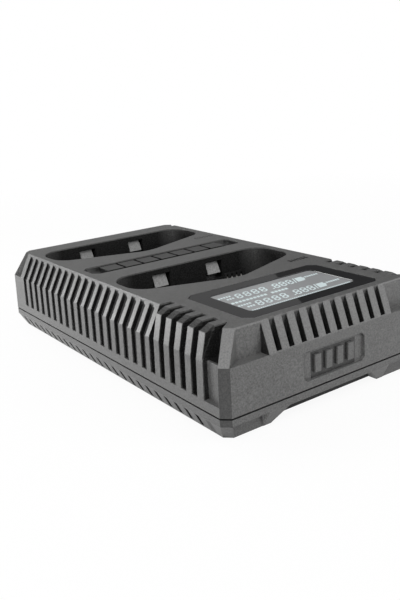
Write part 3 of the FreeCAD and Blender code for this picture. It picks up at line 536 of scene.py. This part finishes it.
def band(name, tree, values):
    holder = bpy.data.objects.new(name + "Holder", bpy.data.meshes.new(name + "Holder"))
    scene.collection.objects.link(holder)
    modifier = holder.modifiers.new("band", "NODES")
    modifier.node_group = tree
    wanted = {"Count": values["count"], "Pitch": values["pitch"] * mm,
              "Start": tuple(c * mm for c in values["start"])}
    for item in tree.interface.items_tree:
        if item.in_out == "INPUT" and item.name in wanted:
            modifier[item.identifier] = wanted[item.name]
    bpy.context.view_layer.update()
    mesh = bpy.data.meshes.new_from_object(holder.evaluated_get(bpy.context.evaluated_depsgraph_get()))
    bpy.data.objects.remove(holder)
    mesh.name = name
    return mesh


def joined(name, meshes, material):
    whole = bmesh.new()
    for mesh in meshes:
        whole.from_mesh(mesh)
    made = bpy.data.meshes.new(name)
    whole.to_mesh(made)
    whole.free()
    made.materials.append(material)
    return placed(name, made)


def glyph(name, loops, low, high):
    shape = bmesh.new()
    for loop in loops:
        floor = [shape.verts.new((x * mm, y * mm, low * mm)) for x, y in loop]
        roof = [shape.verts.new((x * mm, y * mm, high * mm)) for x, y in loop]
        shape.faces.new(roof)
        shape.faces.new(floor[::-1])
        for here in range(len(loop)):
            there = (here + 1) % len(loop)
            shape.faces.new((floor[here], floor[there], roof[there], roof[here]))
    mesh = bpy.data.meshes.new(name)
    shape.to_mesh(mesh)
    shape.free()
    source = bpy.data.objects.new(name, mesh)
    scene.collection.objects.link(source)
    source.hide_render = True
    return source


# display window

window = {"half": 27.45, "near": -67.05, "far": -36.15, "cut": 2.5, "low": 29.8, "high": 31.2, "edge": 0.12,
          "lcdHalf": 21.7, "lcdNear": -61.9, "lcdFar": -41.0, "lcdRound": 1.6, "lcdGap": 0.05,
          "glassLow": 27.85, "glassLevel": 30.86, "glassEdge": 0.06}
rimLook = {"haze": 12.0, "detail": 3.0, "noiseRough": 0.6, "dark": (0.009, 0.009, 0.010),
           "light": (0.013, 0.013, 0.014), "rough": (0.015, 0.03), "waveSize": 8.0, "wave": 0.002,
           "edge": 0.1}
glassLook = {"grain": 0.22, "cloud": 14.0, "noiseRough": 0.5, "speckle": 0.06, "shade": 0.05, "glow": 0.55,
             "rough": 0.5, "change": 0.04, "gloss": 0.2, "coatRough": 0.05}


def windowGloss(name, values):
    material, tree, shader, coords = newTree(name)
    haze = noise(tree, coords, values["haze"], values["detail"], values["noiseRough"])
    colour = mixColour(tree, remap(tree, haze, 0, 1), values["dark"], values["light"])
    tree.links.new(colour, shader.inputs["Base Color"])
    tree.links.new(remap(tree, haze, *values["rough"]), shader.inputs["Roughness"])
    grain(tree, shader, coords, values["waveSize"], values["wave"], values["edge"])
    return material


def lcdLook(name, values, colour, coat):
    material, tree, shader, coords = newTree(name)
    fine = noise(tree, coords, values["grain"], rough=values["noiseRough"])
    broad = noise(tree, coords, values["cloud"])
    tone = sums(tree, "MULTIPLY", varied(tree, fine, 1, values["speckle"], values["speckle"]),
                varied(tree, broad, 1, values["shade"], values["shade"]))
    shaded = scaled(tree, colour, tone)
    tree.links.new(shaded, shader.inputs["Base Color"])
    tree.links.new(shaded, shader.inputs["Emission Color"])
    shader.inputs["Emission Strength"].default_value = values["glow"]
    rough = varied(tree, fine, values["rough"], values["change"], values["change"])
    tree.links.new(rough, shader.inputs["Roughness"])
    shader.inputs["Specular IOR Level"].default_value = values["gloss"]
    shader.inputs["Coat Weight"].default_value = coat
    shader.inputs["Coat Roughness"].default_value = values["coatRough"]
    return material


borderMaterial = windowGloss("windowBorder", rimLook)
panelMaterial = lcdLook("displayPanel", glassLook, (0.21, 0.215, 0.22), 1.0)
markMaterial = lcdLook("displayMarks", glassLook, (0.40, 0.46, 0.47), 0.0)

lcdHalf, lcdNear, lcdFar = window["lcdHalf"], window["lcdNear"], window["lcdFar"]
opening = roundedLoop(-lcdHalf, lcdHalf, lcdNear, lcdFar, window["lcdRound"])
rim = cutLoop(-window["half"], window["half"], window["near"], window["far"], window["cut"])
border = flatPiece("window_border", [rim, opening[::-1]], window["low"], window["high"], window["edge"],
                   borderMaterial)
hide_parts("display_window")
gap = window["lcdGap"]
inner = roundedLoop(gap - lcdHalf, lcdHalf - gap, lcdNear + gap, lcdFar - gap, window["lcdRound"])
panel = flatPiece("lcd_panel", [inner], window["glassLow"], window["glassLevel"], window["glassEdge"],
                  panelMaterial)
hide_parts("lcd_glass")
print("stage: window")

# generic figures of the display

digit = {"wide": 2.35, "high": 4.5, "stroke": 0.62, "gap": 0.1, "slant": 0.3}
marks = {"sunk": 0.01, "raised": 0.03}  # how far each mark reaches below and above the glass


def digitLoops(values):
    wide, high, stroke, gap = values["wide"], values["high"], values["stroke"], values["gap"]
    half, loops = stroke / 2, []
    for y in (half, high / 2, high - half):
        x0, x1 = half + gap, wide - half - gap
        loops.append([(x0, y), (x0 + half, y - half), (x1 - half, y - half), (x1, y), (x1 - half, y + half),
                      (x0 + half, y + half)])
    for x in (half, wide - half):
        for y0, y1 in ((half + gap, high / 2 - gap), (high / 2 + gap, high - half - gap)):
            loops.append([(x, y0), (x + half, y0 + half), (x + half, y1 - half), (x, y1),
                          (x - half, y1 - half), (x - half, y0 + half)])
    return [[(x + values["slant"] * y, y) for x, y in loop] for loop in loops]


def bar(wide, high, slant=0.3):
    return [[(0, 0), (wide, 0), (wide + slant * high, high), (slant * high, high)]]


markLow, markHigh = window["glassLevel"] - marks["sunk"], window["glassLevel"] + marks["raised"]
glyphs = {
    "digit": glyph("digitGlyph", digitLoops(digit), markLow, markHigh),
    "dot": glyph("dotGlyph", bar(0.6, 0.6), markLow, markHigh),
    "stroke": glyph("strokeGlyph", bar(0.45, 4.4, 0.5), markLow, markHigh),
    "cell": glyph("cellGlyph", bar(3.1, 3.9, 0.42), markLow, markHigh),
    "cap": glyph("capGlyph", bar(0.5, 1.6, 0.42), markLow, markHigh),
    "word": glyph("wordGlyph", bar(0.72, 1.15), markLow, markHigh),
    "longWord": glyph("longWordGlyph", bar(1.05, 1.5), markLow, markHigh),
    "small": glyph("smallGlyph", bar(0.55, 0.8), markLow, markHigh),
}
figureRows = []
for base in (-48.9, -58.8):
    figureRows += [
        ("digit", {"count": 4, "pitch": 3.28, "start": (-15.9, base, 0)}),
        ("dot", {"count": 1, "pitch": 1.0, "start": (-1.6, base + 0.1, 0)}),
        ("digit", {"count": 3, "pitch": 2.95, "start": (-0.6, base, 0)}),
        ("stroke", {"count": 1, "pitch": 1.0, "start": (8.0, base, 0)}),
        ("cell", {"count": 1, "pitch": 1.0, "start": (9.3, base + 0.3, 0)}),
        ("cap", {"count": 1, "pitch": 1.0, "start": (12.9, base + 1.4, 0)}),
        ("word", {"count": 6, "pitch": 1.02, "start": (14.4, base + 2.4, 0)}),
        ("word", {"count": 5, "pitch": 1.02, "start": (-21.0, base + 3.4, 0)}),
        ("word", {"count": 3, "pitch": 1.02, "start": (-19.4, base + 1.0, 0)}),
    ]
figureRows += [
    ("longWord", {"count": 10, "pitch": 1.42, "start": (-21.0, -52.3, 0)}),
    ("longWord", {"count": 5, "pitch": 1.42, "start": (-5.2, -52.3, 0)}),
    ("small", {"count": 50, "pitch": 0.82, "start": (-20.6, -61.2, 0)}),
]
trees = {name: bandTree(name + "Band", source, markMaterial) for name, source in glyphs.items()}
figureMeshes = [band("figure%d" % place, trees[name], values)
                for place, (name, values) in enumerate(figureRows)]
figures = joined("lcd_figures", figureMeshes, markMaterial)
print("stage: display figures", len(figures.data.polygons))

# sprung contacts in the bays

spring = {"x": 21.8, "count": 4, "pitch": 2.3, "wide": 0.8, "low": 14.0, "high": 21.35, "out": 1.6,
          "thick": 0.22, "fit": 0.98, "taper": 0.72, "steps": 24, "waves": 1.12, "fullness": 0.7,
          "swell": 0.35, "behind": 0.4, "proud": 0.05, "backs": {"front": 1.2, "rear": 60.35}}


def springGlyph(name, values):
    path, steps, thick = [], values["steps"], values["thick"] * values["fit"]
    for step in range(steps + 1):
        share = step / steps
        wave = math.sin(math.pi * min(1, share * values["waves"])) ** values["fullness"]
        bulge = wave * (values["out"] + values["swell"]) - values["behind"]
        path.append((values["proud"] - bulge, values["low"] + (values["high"] - values["low"]) * share))
    path = [(max(y, -values["out"] + values["thick"]), z) for y, z in path]
    shape = bmesh.new()
    rings = []
    for place, (y, z) in enumerate(path):
        before, after = path[max(0, place - 1)], path[min(len(path) - 1, place + 1)]
        along = Vector((after[0] - before[0], after[1] - before[1])).normalized()
        backY, backZ = y - along.y * thick, z + along.x * thick
        half = values["wide"] / 2 * (values["taper"] if place in (0, len(path) - 1) else 1)
        corners = [(-half, y, z), (half, y, z), (half, backY, backZ), (-half, backY, backZ)]
        rings.append([shape.verts.new(Vector(c) * mm) for c in corners])
    for first, second in zip(rings, rings[1:]):
        for side in range(4):
            shape.faces.new((first[side], first[(side + 1) % 4], second[(side + 1) % 4], second[side]))
    shape.faces.new(rings[0][::-1])
    shape.faces.new(rings[-1])
    bmesh.ops.recalc_face_normals(shape, faces=shape.faces)
    mesh = bpy.data.meshes.new(name)
    shape.to_mesh(mesh)
    shape.free()
    source = bpy.data.objects.new(name, mesh)
    scene.collection.objects.link(source)
    source.hide_render = True
    return source


springTree = bandTree("springBand", springGlyph("springGlyph", spring), looks["spring"])
firstSpring = spring["x"] - (spring["count"] - 1) / 2 * spring["pitch"]
for place, back in spring["backs"].items():
    row = band("contact_springs_" + place, springTree,
               {"count": spring["count"], "pitch": spring["pitch"], "start": (firstSpring, back, 0)})
    springs = joined("contact_springs_" + place, [row], looks["spring"])
    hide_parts("contact_blades_" + place)
print("stage: contacts")

# screws of the underside

screw = {"x": 30.0, "rows": (-66.0, 16.4, 66.0), "headRadius": 2.55, "headLow": 3.45, "headHigh": 4.95,
         "dome": ((0.55, 0.02), (0.85, 0.22), (0.98, 0.62), (1, 0.95)), "around": 32, "shank": 1.05,
         "top": 14.9, "point": 0.8, "tip": 0.25, "cross": 0.5, "crossLong": 1.5, "crossDeep": 0.9}


def screwMesh(name, values, x, y):
    low, high, radius = values["headLow"], values["headHigh"], values["headRadius"]
    shank, top, around = values["shank"], values["top"], values["around"]
    profile = [(0, low)] + [(radius * share, low + rise) for share, rise in values["dome"]]
    profile += [(radius, high), (shank, high), (shank, top - values["point"]), (values["tip"], top), (0, top)]
    turns = [2 * math.pi * step / around for step in range(around)]
    shape = bmesh.new()
    rings = []
    for reach, z in profile:
        spots = [(x + reach * math.cos(turn), y + reach * math.sin(turn), z) for turn in turns]
        rings.append([shape.verts.new(Vector(spot) * mm) for spot in (spots if reach else spots[:1])])
    for first, second in zip(rings, rings[1:]):
        for here in range(around):
            there = (here + 1) % around
            if len(first) == 1:
                shape.faces.new((first[0], second[there], second[here]))
            elif len(second) == 1:
                shape.faces.new((first[here], first[there], second[0]))
            else:
                shape.faces.new((first[here], first[there], second[there], second[here]))
    bmesh.ops.recalc_face_normals(shape, faces=shape.faces)
    mesh = bpy.data.meshes.new(name)
    shape.to_mesh(mesh)
    shape.free()
    return mesh


def crossCutter(values, places):
    shape = bmesh.new()
    for x, y in places:
        for wide, long in ((values["cross"], values["crossLong"]), (values["crossLong"], values["cross"])):
            size = Matrix.Diagonal((wide * 2 * mm, long * 2 * mm, values["crossDeep"] * 2 * mm, 1))
            spot = Matrix.Translation((x * mm, y * mm, values["headLow"] * mm))
            bmesh.ops.create_cube(shape, size=1, matrix=spot @ size)
    mesh = bpy.data.meshes.new("crossCutter")
    shape.to_mesh(mesh)
    shape.free()
    cutter = bpy.data.objects.new("crossCutter", mesh)
    scene.collection.objects.link(cutter)
    cutter.hide_render = True
    return cutter


places = [(side * screw["x"], y) for side in (-1, 1) for y in screw["rows"]]
heads = joined("case_screw_set", [screwMesh("screw", screw, x, y) for x, y in places], looks["screwSteel"])
carve = heads.modifiers.new("cross", "BOOLEAN")
carve.operation = "DIFFERENCE"
carve.object = crossCutter(screw, places)
carve.solver = "EXACT"
carve.use_self = True
bpy.context.view_layer.update()
carved = bpy.data.meshes.new_from_object(heads.evaluated_get(bpy.context.evaluated_depsgraph_get()))
heads.modifiers.clear()
heads.data = carved
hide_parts("case_screws")
print("stage: screws", len(carved.polygons))

for source in [thing for thing in scene.objects if thing.name.endswith(("Glyph", "Cutter"))]:
    bpy.data.objects.remove(source)

# floor, backdrop cards, world and lights


def outputOf(tree):
    return next(node for node in tree.nodes if node.type == "OUTPUT_MATERIAL")


floorLook = {"half": 4.0, "colour": 0.9, "rough": 0.9, "gloss": 0.1, "near": 0.92, "fadeStart": 0.1,
             "fadeEnd": 0.5, "glossNear": 0.0, "glossStart": 0.02, "glossEnd": 0.2,
             "glossFrom": (-0.06, -0.11, 0)}


def makeFloor(values):
    shape = bmesh.new()
    bmesh.ops.create_grid(shape, x_segments=2, y_segments=2, size=values["half"])
    mesh = bpy.data.meshes.new("floor")
    shape.to_mesh(mesh)
    shape.free()
    floor = bpy.data.objects.new("floor", mesh)
    scene.collection.objects.link(floor)
    material, tree, shader, coords = newTree("floorPaper")
    shader.inputs["Base Color"].default_value = (values["colour"],) * 3 + (1,)
    shader.inputs["Roughness"].default_value = values["rough"]
    shader.inputs["Specular IOR Level"].default_value = values["gloss"]
    white = tree.nodes.new("ShaderNodeEmission")
    white.inputs["Color"].default_value = (1, 1, 1, 1)
    distance, away = (tree.nodes.new("ShaderNodeVectorMath") for _ in range(2))
    distance.operation, away.operation = "LENGTH", "DISTANCE"
    away.inputs[1].default_value = values["glossFrom"]
    for measure in (distance, away):
        tree.links.new(coords, measure.inputs[0])
    fade = remap(tree, distance.outputs["Value"], values["near"], 1.0, values["fadeStart"], values["fadeEnd"])
    shine = remap(tree, away.outputs["Value"], values["glossNear"], 1.0, values["glossStart"],
                  values["glossEnd"])
    path = tree.nodes.new("ShaderNodeLightPath")
    mirrored = sums(tree, "MAXIMUM", path.outputs["Is Glossy Ray"], path.outputs["Is Transmission Ray"])
    share = sums(tree, "ADD", sums(tree, "MULTIPLY", path.outputs["Is Camera Ray"], fade),
                 sums(tree, "MULTIPLY", mirrored, shine))
    blend = tree.nodes.new("ShaderNodeMixShader")
    tree.links.new(share, blend.inputs["Fac"])
    tree.links.new(shader.outputs["BSDF"], blend.inputs[1])
    tree.links.new(white.outputs["Emission"], blend.inputs[2])
    tree.links.new(blend.outputs["Shader"], outputOf(tree).inputs["Surface"])
    floor.data.materials.append(material)


makeFloor(floorLook)

cards = {
    "cardLeft": {"level": 0.27, "corners": [(-700, 60), (325, 60), (620, 374), (620, 900), (-700, 900)]},
    "cardRight": {"level": 0.065, "corners": [(325, 60), (1500, 60), (1500, 900), (620, 900), (620, 374)]},
}
cardPlace = 0.5  # metres behind the middle
ceiling = {"level": 0.1, "half": 2.5, "height": 1.5}
worldLevel = 0.3


def makeCard(name, level, corners):
    shape = bmesh.new()
    shape.faces.new([shape.verts.new(corner) for corner in corners])
    mesh = bpy.data.meshes.new(name)
    shape.to_mesh(mesh)
    shape.free()
    card = bpy.data.objects.new(name, mesh)
    scene.collection.objects.link(card)
    card.visible_camera = False
    card.visible_shadow = False
    card.visible_diffuse = False
    material, tree, shader, coords = newTree(name)
    glow = tree.nodes.new("ShaderNodeEmission")
    glow.inputs["Color"].default_value = (level,) * 3 + (1,)
    tree.links.new(glow.outputs["Emission"], outputOf(tree).inputs["Surface"])
    card.data.materials.append(material)


for name, values in cards.items():
    makeCard(name, values["level"], [(x * mm, cardPlace, z * mm) for x, z in values["corners"]])
half = ceiling["half"]
ceilingCorners = ((-half, -half), (half, -half), (half, half), (-half, half))
makeCard("ceiling", ceiling["level"], [(x, y, ceiling["height"]) for x, y in ceilingCorners])


def makeWorld(level):
    world = bpy.data.worlds.new("studio")
    scene.world = world
    world.use_nodes = True
    tree = world.node_tree
    tree.nodes.clear()
    white = tree.nodes.new("ShaderNodeBackground")
    soft = tree.nodes.new("ShaderNodeBackground")
    soft.inputs["Strength"].default_value = level
    blend = tree.nodes.new("ShaderNodeMixShader")
    output = tree.nodes.new("ShaderNodeOutputWorld")
    for background in (white, soft):
        background.inputs["Color"].default_value = (1, 1, 1, 1)
    path = tree.nodes.new("ShaderNodeLightPath")
    share = path.outputs["Is Camera Ray"]  # these rays see plain white
    for kind in ("Is Glossy Ray", "Is Transmission Ray"):
        share = sums(tree, "ADD", share, path.outputs[kind])
    tree.links.new(sums(tree, "MINIMUM", share, 1.0), blend.inputs["Fac"])
    tree.links.new(soft.outputs["Background"], blend.inputs[1])
    tree.links.new(white.outputs["Background"], blend.inputs[2])
    tree.links.new(blend.outputs["Shader"], output.inputs["Surface"])


makeWorld(worldLevel)

lampAim = (0, 0, 0.02)
lamps = {
    "frontRightBox": {"place": (0.34, -0.56, 0.34), "size": (0.35, 0.35), "level": 4.2},
    "lowRightBox": {"place": (0.9, -0.62, 0.17), "size": (0.6, 0.3), "level": 1.2},
    "cameraBox": {"place": (-0.66, -0.46, 0.64), "size": (0.35, 0.35), "level": 10.5},
    "leftBackBox": {"place": (-0.25, 0.22, 0.06), "size": (0.16, 0.08), "level": 18.0},
    "topBox": {"place": (-0.25, -0.3, 1.05), "size": (0.7, 0.7), "level": 1.2},
    "backBox": {"place": (0.0, 0.7, 0.9), "size": (0.6, 0.5), "level": 2.4},
}


def makeLamp(name, values):
    data = bpy.data.lights.new(name, "AREA")
    data.shape = "RECTANGLE"
    data.size, data.size_y = values["size"]
    data.energy = values["level"] * math.pi * data.size * data.size_y
    lamp = bpy.data.objects.new(name, data)
    scene.collection.objects.link(lamp)
    place = Vector(values["place"])
    aim = (Vector(lampAim) - place).to_track_quat("-Z", "Y")
    lamp.matrix_world = Matrix.Translation(place) @ aim.to_matrix().to_4x4()
    lamp.visible_camera = False


for name, values in lamps.items():
    makeLamp(name, values)
print("stage: floor, world and lights")
